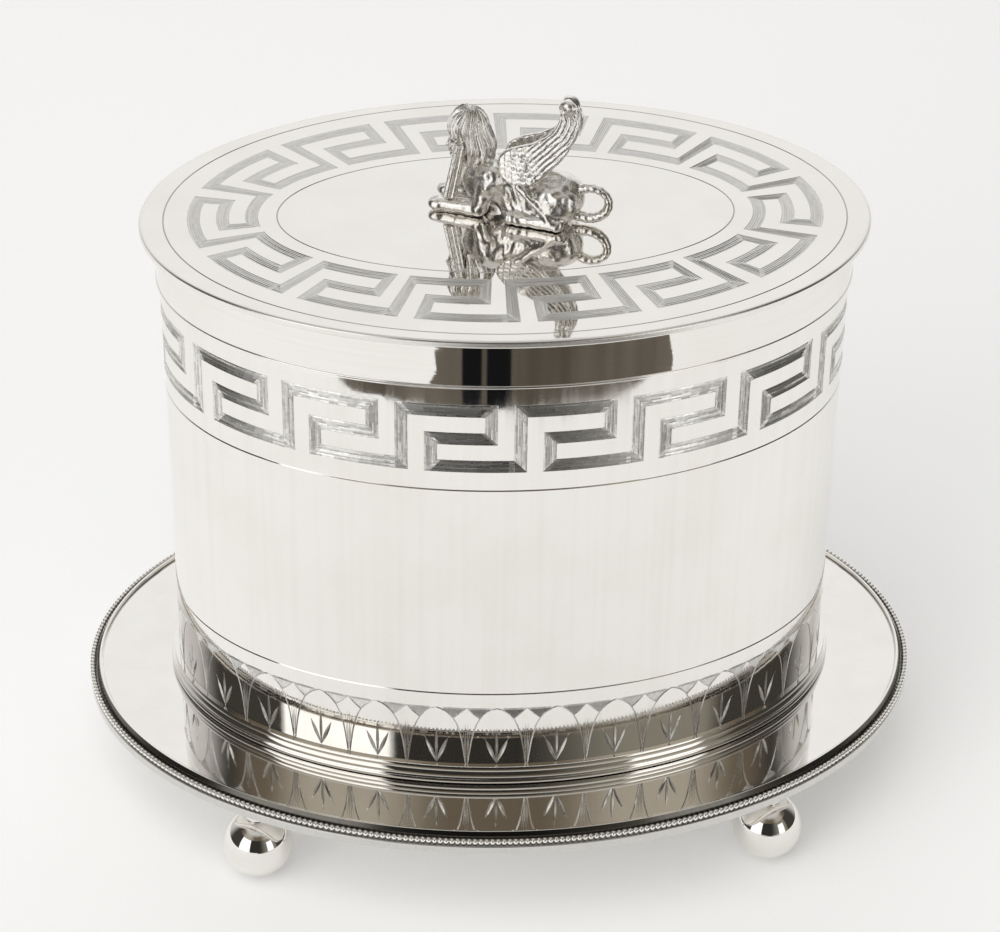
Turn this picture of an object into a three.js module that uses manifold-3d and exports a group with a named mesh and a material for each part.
import * as THREE from "three";
import { mergeVertices } from "three/addons/utils/BufferGeometryUtils.js";
import Module from "manifold-3d";

const wasm = await Module();
wasm.setup();

// Driving dimensions, in millimetres
// X runs along the oval, the front faces -Y, and the floor is at Z = 0.
const clearance = 0.3; // left between neighbouring pieces
const ringSteps = 64; // facets round the oval
const roundSteps = 16; // facets round a pin or a stem

// Ball feet and their stems
const ballDiameter = 21;
const ballFlat = 0.3; // how much is worn flat where a ball stands
const ballSeat = 0.6; // how much is cut flat under the stem
const ballSteps = 18;
const footAngle = 49.8; // degrees round the oval from its end
const footRimGap = 1.5; // stem to the edge of the tray plate
const neckFlangeRadius = 3.8;
const neckWaistRadius = 3;
const neckFlange = 1.2; // height of each flange
const neckHeight = 9.6;

// Oval box
const wallHalfLength = 100;
const wallHalfDepth = 67;
const wallThickness = 1.5;
const wallHeight = 135.7;
const floorThickness = 1.6;

// Tray, its sizes outwards from the box wall
const trayThickness = 1.6;
const trayMargin = 24; // box wall to the edge of the flat plate
const rimRise = 1.1; // crest of the rim above the plate
const rimCrest = 1; // width of the crest
const rimCrestRound = 0.25;
const rimSlope = 0.9; // fall and width of the slope outside the crest
const beadRadius = 0.95;
const beadDrop = 0.9; // centre of the beading below the top of the plate
const beadTuck = 0.2; // beading under the slope and past the apron's face
const beadSides = 6;
const apronHeight = 2.9;
const apronThickness = 1.2;

// Reeded moulding at the foot of the wall
const reedCount = 3;
const reedHeight = 1.9;
const reedProud = 2.6; // the lowest reed, out from the wall
const reedStep = 0.45; // each reed stands back by this
const reedSides = 3;

// Bezel that guides the lid
const bezelThickness = 1.1;
const bezelRise = 4.5; // above the wall
const bezelHeight = 13;

// Lid
const lidHalfLength = 105;
const lidHalfDepth = 72.6;
const lidThickness = 2.2;
const lidEdge = 0.5; // rounding of the plate's edge
const lidGap = 0.4; // shadow line between wall and skirt
const skirtHeight = 15.3;
const skirtThickness = 1.5;
const skirtProud = 0.6; // skirt outside the wall
const skirtRoll = 0.5; // rolled lower edge outside the skirt
const skirtRollHeight = 1.8;

// Hinge at the back
const knuckleRadius = 2;
const pinRadius = 0.9;
const pinOverhang = 0.6; // pin past the last knuckle
const knuckleCount = 5;
const knucklePitch = 8;
const knuckleGap = 0.4;
const leafThickness = 1.5;
const leafHeight = 10;
const leafStandoff = 2.7; // leaf edge from the pin's axis
const webReach = 1; // web edge from the pin's axis

// Fixing of the finial
const studRadius = 1.5;
const studDepth = 7; // into the figure
const washerRadius = 5;
const washerThickness = 0.8;
const nutRadius = 3.6;
const nutThickness = 2.4;
const studPastNut = 0.6;

// Finial: a reclining sphinx, turned a little on the lid
// Its own X runs from the paws (-X) to the tail, Y is to its side, and Z = 0 is its flat underside.
// Round forms have a centre and three radii, and limbs run from one point to another.
const sphinxTurn = -20; // degrees
const sphereSteps = 12;
const limbRings = 2;
const limbSides = 9;
const chest = { at: [-6.5, 0, 9.2], size: [6.8, 6.2, 8.2] };
const belly = { at: [4.5, 0, 8.2], size: [14, 6.2, 7] };
const rump = { at: [15, 0, 7.6], size: [8.2, 5.6, 7.2] };
const haunch = { at: [14.6, 4.6, 6.8], size: [7.6, 4.4, 6.6] };
const paw = { at: [-19.2, 4.4, 1.6], size: [2.6, 2.3, 2] };
const upperForeleg = { from: [-5.4, 4.6, 10], to: [-7, 4.6, 3], radius: 2.6 };
const foreleg = { from: [-7, 4.4, 2], to: [-19, 4.4, 1.8], radius: 2.1 };
const thighEdge = { from: [6.4, 6, 10], to: [16, 7.4, 2.6], radius: 1.6 };
const hindFoot = { from: [2.6, 6.8, 1.6], to: [17, 7, 1.6], radius: 1.9 };
const headdressCrown = { at: [-11.6, 0, 24], size: [5.4, 5, 7.6] };
const headdressBack = { at: [-8.6, 0, 19.5], size: [5, 5.4, 5.4] };
const face = { at: [-14.2, 0, 20.6], size: [3.3, 3.3, 5.2] };
const neck = { from: [-9, 0, 12.5], to: [-10, 0, 20], radius: 3.1 };
const lappet = { from: [-12.4, 4, 19], to: [-15.6, 3.6, 5.6], radius: 1.5 };
const wingOutline = [
  [1.4, 12.2], [6, 11.8], [10.4, 13.2], [14.4, 17.2], [17.6, 21], [19.6, 24.8], [21.4, 29],
  [21.6, 33.6], [20, 37], [17.6, 38.6], [15.8, 36.6], [15.6, 33], [14.2, 29.6], [11.6, 26.8],
  [8, 24.6], [4, 23.2], [-0.4, 20.6], [-1.6, 16.2],
];
const wingThickness = 2;
const wingRootY = 4.6;
const wingRootZ = 12;
const wingLean = 7; // degrees, tips towards each other
const tailPath = [
  [20.5, 9.2], [23.2, 11], [26.6, 11.1], [29.5, 9.2], [30, 6.2], [28.4, 3.4], [25, 1.9], [20.5, 2.2],
];
const tailRadius = 1.25;
const tailSteps = 18;

const silverColour = 0xd9d6d0;

// Heights that follow
const ballRadius = ballDiameter / 2;
const ballCentreZ = ballRadius - ballFlat;
const neckBottom = ballCentreZ + ballRadius - ballSeat + clearance;
const trayBottom = neckBottom + neckHeight + clearance;
const trayTop = trayBottom + trayThickness;
const boxBottom = trayTop + clearance;
const wallTop = boxBottom + wallHeight;
const skirtBottom = wallTop + lidGap;
const skirtTop = skirtBottom + skirtHeight;
const lidBottom = skirtTop + clearance;
const lidTop = lidBottom + lidThickness;

const metal = (name, roughness) =>
  new THREE.MeshStandardMaterial({ name, color: silverColour, roughness, metalness: 1 });
const polished = metal("silver_plate", 0.08);
const inside = metal("silver_inside", 0.3);
const cast = metal("cast_silver", 0.25);
const fixing = metal("nickel_fixing", 0.35);

// Solids
// A closed geometry as a solid with its faces outwards.
function solidOf(geometry) {
  const bare = geometry.clone();
  bare.deleteAttribute("normal");
  bare.deleteAttribute("uv");
  const merged = mergeVertices(bare, 1e-4);
  const vertProperties = merged.attributes.position.array;
  const triVerts = new Uint32Array(merged.index.array);
  const made = new wasm.Manifold(new wasm.Mesh({ numProp: 3, vertProperties, triVerts }));
  if (made.volume() > 0) return made;
  return new wasm.Manifold(new wasm.Mesh({ numProp: 3, vertProperties, triVerts: triVerts.reverse() }));
}

const unite = (solids) => solids.reduce((sum, solid) => sum.add(solid));

function cut(solid, tools) {
  return tools.reduce((rest, tool) => rest.subtract(tool), solid);
}

function meshOf(name, solid, material) {
  const { vertProperties, triVerts } = solid.getMesh();
  const geometry = new THREE.BufferGeometry();
  geometry.setAttribute("position", new THREE.BufferAttribute(vertProperties, 3));
  geometry.setIndex(new THREE.BufferAttribute(triVerts, 1));
  geometry.computeVertexNormals();
  const mesh = new THREE.Mesh(geometry, material);
  mesh.name = name;
  return mesh;
}

// A profile of [out from the oval's edge, height] points, turned round an oval.
// A point with ON_AXIS for its first value lies on the upright axis.
const ON_AXIS = null;
function ovalSolid(profile, halfLength = wallHalfLength, halfDepth = wallHalfDepth) {
  const closed = profile[0][0] === ON_AXIS ? profile : [...profile, profile[0]];
  const points = closed.map(([out, z]) => new THREE.Vector2(out === ON_AXIS ? 0 : halfLength + out, z));
  const geometry = new THREE.LatheGeometry(points, ringSteps);
  const place = geometry.attributes.position;
  for (let i = 0; i < place.count; i += 1) {
    const radius = Math.hypot(place.getX(i), place.getZ(i));
    const angle = Math.atan2(place.getX(i), place.getZ(i));
    const depth = radius < 1e-3 ? 0 : halfDepth + radius - halfLength;
    place.setXYZ(i, radius * Math.cos(angle), depth * Math.sin(angle), place.getY(i));
  }
  return solidOf(geometry);
}

// A flat oval plate, its edge at the given offset from the box wall.
function ovalPlate(offset, bottom, top) {
  return ovalSolid([[ON_AXIS, bottom], [offset, bottom], [offset, top], [ON_AXIS, top]]);
}

// An upright oval band between two offsets from the box wall.
function ovalBand(inner, outer, bottom, top) {
  return ovalSolid([[inner, bottom], [outer, bottom], [outer, top], [inner, top]]);
}

// A round solid about the Z axis from [radius, height] points.
function turned(profile, steps) {
  const points = profile.map(([radius, z]) => new THREE.Vector2(radius, z));
  return solidOf(new THREE.LatheGeometry(points, steps).rotateX(Math.PI / 2));
}

function block(x0, x1, y0, y1, z0, z1) {
  const geometry = new THREE.BoxGeometry(x1 - x0, y1 - y0, z1 - z0);
  return solidOf(geometry.translate((x0 + x1) / 2, (y0 + y1) / 2, (z0 + z1) / 2));
}

function cylinderX(radius, x0, x1, y, z) {
  const geometry = new THREE.CylinderGeometry(radius, radius, x1 - x0, roundSteps);
  return solidOf(geometry.rotateZ(Math.PI / 2).translate((x0 + x1) / 2, y, z));
}

function cylinderZ(radius, z0, z1, steps = roundSteps) {
  const geometry = new THREE.CylinderGeometry(radius, radius, z1 - z0, steps);
  return solidOf(geometry.rotateX(Math.PI / 2).translate(0, 0, (z0 + z1) / 2));
}

// Feet
function ballFoot() {
  const profile = [[0, 0]];
  const low = Math.acos(ballCentreZ / ballRadius);
  const high = Math.acos((ballRadius - ballSeat) / ballRadius);
  const arcs = ballSteps / 2;
  for (let i = 0; i <= arcs; i += 1) {
    const angle = low + ((Math.PI - low - high) * i) / arcs;
    profile.push([ballRadius * Math.sin(angle), ballCentreZ - ballRadius * Math.cos(angle)]);
  }
  profile.push([0, ballCentreZ + ballRadius - ballSeat]);
  profile[1][1] = 0;
  return turned(profile, ballSteps);
}

function footNeck() {
  const top = neckBottom + neckHeight;
  return turned(
    [
      [0, neckBottom],
      [neckFlangeRadius, neckBottom],
      [neckFlangeRadius, neckBottom + neckFlange],
      [neckWaistRadius, neckBottom + 2 * neckFlange],
      [neckWaistRadius, top - 2 * neckFlange],
      [neckFlangeRadius, top - neckFlange],
      [neckFlangeRadius, top],
      [0, top],
    ],
    roundSteps,
  );
}

// The stem stands just inside the edge of the tray plate.
const footOut = trayMargin - footRimGap - neckFlangeRadius;
const footX = (wallHalfLength + footOut) * Math.cos(THREE.MathUtils.degToRad(footAngle));
const footY = (wallHalfDepth + footOut) * Math.sin(THREE.MathUtils.degToRad(footAngle));

function addFeet(group) {
  for (const [sideName, sideX] of [["left", -1], ["right", 1]]) {
    for (const [endName, endY] of [["front", -1], ["back", 1]]) {
      const foot = new THREE.Group();
      foot.position.set(sideX * footX, endY * footY, 0);
      foot.add(meshOf(`ball_foot_${endName}_${sideName}`, ballFoot(), polished));
      foot.add(meshOf(`foot_neck_${endName}_${sideName}`, footNeck(), polished));
      group.add(foot);
    }
  }
}

// Tray
const rimInner = trayMargin + clearance;
const slopeOuter = rimInner + rimCrest + rimSlope;
const beadOut = slopeOuter + clearance + beadRadius - beadTuck;
const beadZ = trayTop - beadDrop;
const ledgeZ = beadZ - beadRadius - clearance;
const apronOut = beadOut + beadRadius - beadTuck;

function trayRim() {
  const crestZ = trayTop + rimRise;
  const beadWall = beadOut - beadRadius - clearance;
  return ovalSolid([
    [rimInner, ledgeZ - apronThickness],
    [apronOut - apronThickness, ledgeZ - apronThickness],
    [apronOut - apronThickness, ledgeZ - apronHeight],
    [apronOut, ledgeZ - apronHeight],
    [apronOut, ledgeZ],
    [beadWall, ledgeZ],
    [beadWall, crestZ - rimSlope],
    [rimInner + rimCrest, crestZ],
    [rimInner + rimCrestRound, crestZ],
    [rimInner, crestZ - rimCrestRound],
  ]);
}

function beading() {
  const profile = [];
  for (let i = 0; i < beadSides; i += 1) {
    const angle = (2 * Math.PI * (i + 0.5)) / beadSides;
    profile.push([beadOut + beadRadius * Math.cos(angle), beadZ + beadRadius * Math.sin(angle)]);
  }
  return ovalSolid(profile);
}

// Box
function reeds() {
  const inner = clearance;
  const profile = [[inner, boxBottom]];
  for (let reed = 0; reed < reedCount; reed += 1) {
    const half = reedHeight / 2;
    const out = reedProud - reed * reedStep - half;
    const middle = boxBottom + reedHeight * reed + half;
    for (let i = 0; i <= reedSides; i += 1) {
      const angle = -Math.PI / 2 + (Math.PI * i) / reedSides;
      profile.push([out + half * Math.cos(angle), middle + half * Math.sin(angle)]);
    }
  }
  profile.push([inner, boxBottom + reedHeight * reedCount]);
  return ovalSolid(profile);
}

const boreOffset = -wallThickness;

function bezel() {
  const top = wallTop + bezelRise;
  const outer = boreOffset - clearance;
  return ovalBand(outer - bezelThickness, outer, top - bezelHeight, top);
}

// Lid
const skirtInner = skirtProud - skirtThickness;

function skirt() {
  return ovalSolid([
    [skirtInner, skirtBottom],
    [skirtProud, skirtBottom],
    [skirtProud + skirtRoll, skirtBottom + skirtRoll],
    [skirtProud + skirtRoll, skirtBottom + skirtRollHeight - skirtRoll],
    [skirtProud, skirtBottom + skirtRollHeight],
    [skirtProud, skirtTop],
    [skirtInner, skirtTop],
  ]);
}

function lidPlate() {
  const plate = ovalSolid(
    [
      [ON_AXIS, lidBottom],
      [-lidEdge, lidBottom],
      [0, lidBottom + lidEdge],
      [0, lidTop - lidEdge],
      [-lidEdge, lidTop],
      [ON_AXIS, lidTop],
    ],
    lidHalfLength,
    lidHalfDepth,
  );
  return plate.subtract(cylinderZ(studRadius + clearance, lidBottom - clearance, lidTop + clearance));
}

// Hinge
const pinY = wallHalfDepth + skirtProud + skirtRoll + clearance + knuckleRadius;
const pinZ = (wallTop + skirtBottom) / 2;
const hingeHalf = (knuckleCount * knucklePitch) / 2;

// A rod on the hinge's axis, a little longer than the knuckles together.
const hingeRod = (radius) => cylinderX(radius, -hingeHalf - pinOverhang, hingeHalf + pinOverhang, pinY, pinZ);

// One leaf lies on the wall or the skirt and carries every second knuckle.
// side is -1 for the leaf below the pin and 1 for the leaf above it.
// The webs under the knuckles clear whatever stands proud of the seat by proud.
function hingeLeaf(side, seatOffset, proud, firstKnuckle) {
  const near = pinZ + side * leafStandoff;
  const far = near + side * leafHeight;
  const [low, high] = [Math.min(near, far), Math.max(near, far)];
  const seat = seatOffset + clearance;
  const strip = ovalBand(seat, seat + leafThickness, low, high);
  const behind = block(-hingeHalf, hingeHalf, 0, 2 * wallHalfDepth, low - clearance, high + clearance);
  const parts = [strip.intersect(behind)];
  for (let i = firstKnuckle; i < knuckleCount; i += 2) {
    const x0 = -hingeHalf + i * knucklePitch + knuckleGap / 2;
    const x1 = x0 + knucklePitch - knuckleGap;
    const webEdges = [pinZ + side * webReach, near + side * leafThickness];
    const web = block(x0, x1, pinY - 2 * leafStandoff, pinY, Math.min(...webEdges), Math.max(...webEdges));
    const inner = ovalPlate(seat + proud, low - leafStandoff - leafHeight, high + leafStandoff + leafHeight);
    parts.push(web.subtract(inner), cylinderX(knuckleRadius, x0, x1, pinY, pinZ));
  }
  return unite(parts).subtract(hingeRod(pinRadius + clearance));
}

// Sphinx
// A sphinx form on one side, where side is -1 or 1, with every size grown by grow.
function ball(form, side, grow) {
  const [x, y, z] = form.at;
  const [rx, ry, rz] = form.size;
  const geometry = new THREE.SphereGeometry(1, sphereSteps, Math.round(sphereSteps * 0.7));
  geometry.rotateX(Math.PI / 2).scale(rx + grow, ry + grow, rz + grow);
  return solidOf(geometry.translate(x, side * y, z));
}

// A round-ended limb between two points.
function limb(form, side, grow) {
  const start = new THREE.Vector3(form.from[0], side * form.from[1], form.from[2]);
  const end = new THREE.Vector3(form.to[0], side * form.to[1], form.to[2]);
  const geometry = new THREE.CapsuleGeometry(form.radius + grow, start.distanceTo(end), limbRings, limbSides);
  const along = end.clone().sub(start).normalize();
  const turn = new THREE.Quaternion().setFromUnitVectors(new THREE.Vector3(0, 1, 0), along);
  const middle = start.add(end).multiplyScalar(0.5);
  return solidOf(geometry.applyQuaternion(turn).translate(...middle.toArray()));
}

function sphinxHead(grow) {
  const round = [headdressCrown, headdressBack, face].map((form) => ball(form, 1, grow));
  return unite([...round, limb(neck, 1, grow), limb(lappet, -1, grow), limb(lappet, 1, grow)]);
}

// The wing's outline, smoothed, grown outwards and given its thickness.
function sphinxWing(side, grow) {
  const corners = wingOutline.map(([x, z]) => new THREE.Vector2(x, z));
  const middle = new THREE.Box2().setFromPoints(corners).getCenter(new THREE.Vector2());
  const smooth = new THREE.SplineCurve([...corners, corners[0]]).getPoints(corners.length * 2).slice(0, -1);
  const grown = smooth.map((point) => point.clone().add(point.clone().sub(middle).setLength(grow)));
  const depth = wingThickness + 2 * grow;
  const geometry = new THREE.ExtrudeGeometry(new THREE.Shape(grown), { depth, bevelEnabled: false });
  geometry.rotateX(Math.PI / 2).translate(0, depth / 2, -wingRootZ);
  geometry.rotateX(THREE.MathUtils.degToRad(side * wingLean)).translate(0, side * wingRootY, wingRootZ);
  return solidOf(geometry);
}

function sphinxTail(grow) {
  const path = new THREE.CatmullRomCurve3(tailPath.map(([x, z]) => new THREE.Vector3(x, 0, z)));
  const section = new THREE.Shape().absarc(0, 0, tailRadius + grow, 0, 2 * Math.PI);
  const options = { extrudePath: path, steps: tailSteps, curveSegments: 4, bevelEnabled: false };
  return solidOf(new THREE.ExtrudeGeometry(section, options));
}

function sphinxBody() {
  const parts = [ball(chest, 1, 0), ball(belly, 1, 0), ball(rump, 1, 0)];
  for (const side of [-1, 1]) {
    parts.push(ball(haunch, side, 0), ball(paw, side, 0));
    parts.push(...[upperForeleg, foreleg, thighEdge, hindFoot].map((form) => limb(form, side, 0)));
  }
  const under = block(-lidHalfLength, lidHalfLength, -lidHalfDepth, lidHalfDepth, -lidHalfDepth, 0);
  const studHole = cylinderZ(studRadius + clearance, -clearance, studDepth + clearance);
  const wings = [sphinxWing(-1, clearance), sphinxWing(1, clearance)];
  return cut(unite(parts), [under, studHole, sphinxHead(clearance), ...wings, sphinxTail(clearance)]);
}

function addSphinx(group) {
  const sphinx = new THREE.Group();
  sphinx.position.set(0, 0, lidTop + clearance);
  sphinx.rotation.z = THREE.MathUtils.degToRad(sphinxTurn);
  sphinx.add(meshOf("sphinx_body", sphinxBody(), cast));
  sphinx.add(meshOf("sphinx_head", sphinxHead(0), cast));
  sphinx.add(meshOf("sphinx_wing_left", sphinxWing(-1, 0), cast));
  sphinx.add(meshOf("sphinx_wing_right", sphinxWing(1, 0), cast));
  sphinx.add(meshOf("sphinx_tail", sphinxTail(0), cast));
  group.add(sphinx);
}

function addFixing(group) {
  const washerTop = lidBottom - clearance;
  const nutTop = washerTop - washerThickness - clearance;
  const bore = cylinderZ(studRadius + clearance, nutTop - nutThickness - clearance, lidTop);
  const washer = cylinderZ(washerRadius, washerTop - washerThickness, washerTop).subtract(bore);
  const nut = cylinderZ(nutRadius, nutTop - nutThickness, nutTop, 6).subtract(bore);
  const stud = cylinderZ(studRadius, nutTop - nutThickness - studPastNut, lidTop + clearance + studDepth);
  group.add(meshOf("finial_stud", stud, fixing));
  group.add(meshOf("finial_washer", washer, fixing));
  group.add(meshOf("finial_nut", nut, fixing));
}

// The whole object
const box = new THREE.Group();
addFeet(box);
box.add(meshOf("tray_plate", ovalPlate(trayMargin, trayBottom, trayTop), polished));
box.add(meshOf("tray_rim", trayRim(), polished));
box.add(meshOf("tray_beading", beading(), polished));
box.add(meshOf("box_wall", ovalBand(boreOffset, 0, boxBottom, wallTop), polished));
const floorTop = boxBottom + floorThickness;
box.add(meshOf("box_floor", ovalPlate(boreOffset - clearance, boxBottom, floorTop), inside));
box.add(meshOf("foot_moulding", reeds(), polished));
box.add(meshOf("box_bezel", bezel(), inside));
box.add(meshOf("hinge_box_leaf", hingeLeaf(-1, 0, 0, 0), polished));
box.add(meshOf("hinge_pin", hingeRod(pinRadius), fixing));

const lid = new THREE.Group();
lid.add(meshOf("lid_plate", lidPlate(), polished));
lid.add(meshOf("lid_skirt", skirt(), polished));
lid.add(meshOf("hinge_lid_leaf", hingeLeaf(1, skirtProud, skirtRoll, 1), polished));
addSphinx(lid);
addFixing(lid);

const biscuitBox = new THREE.Group();
biscuitBox.add(box, lid);

export default biscuitBox;
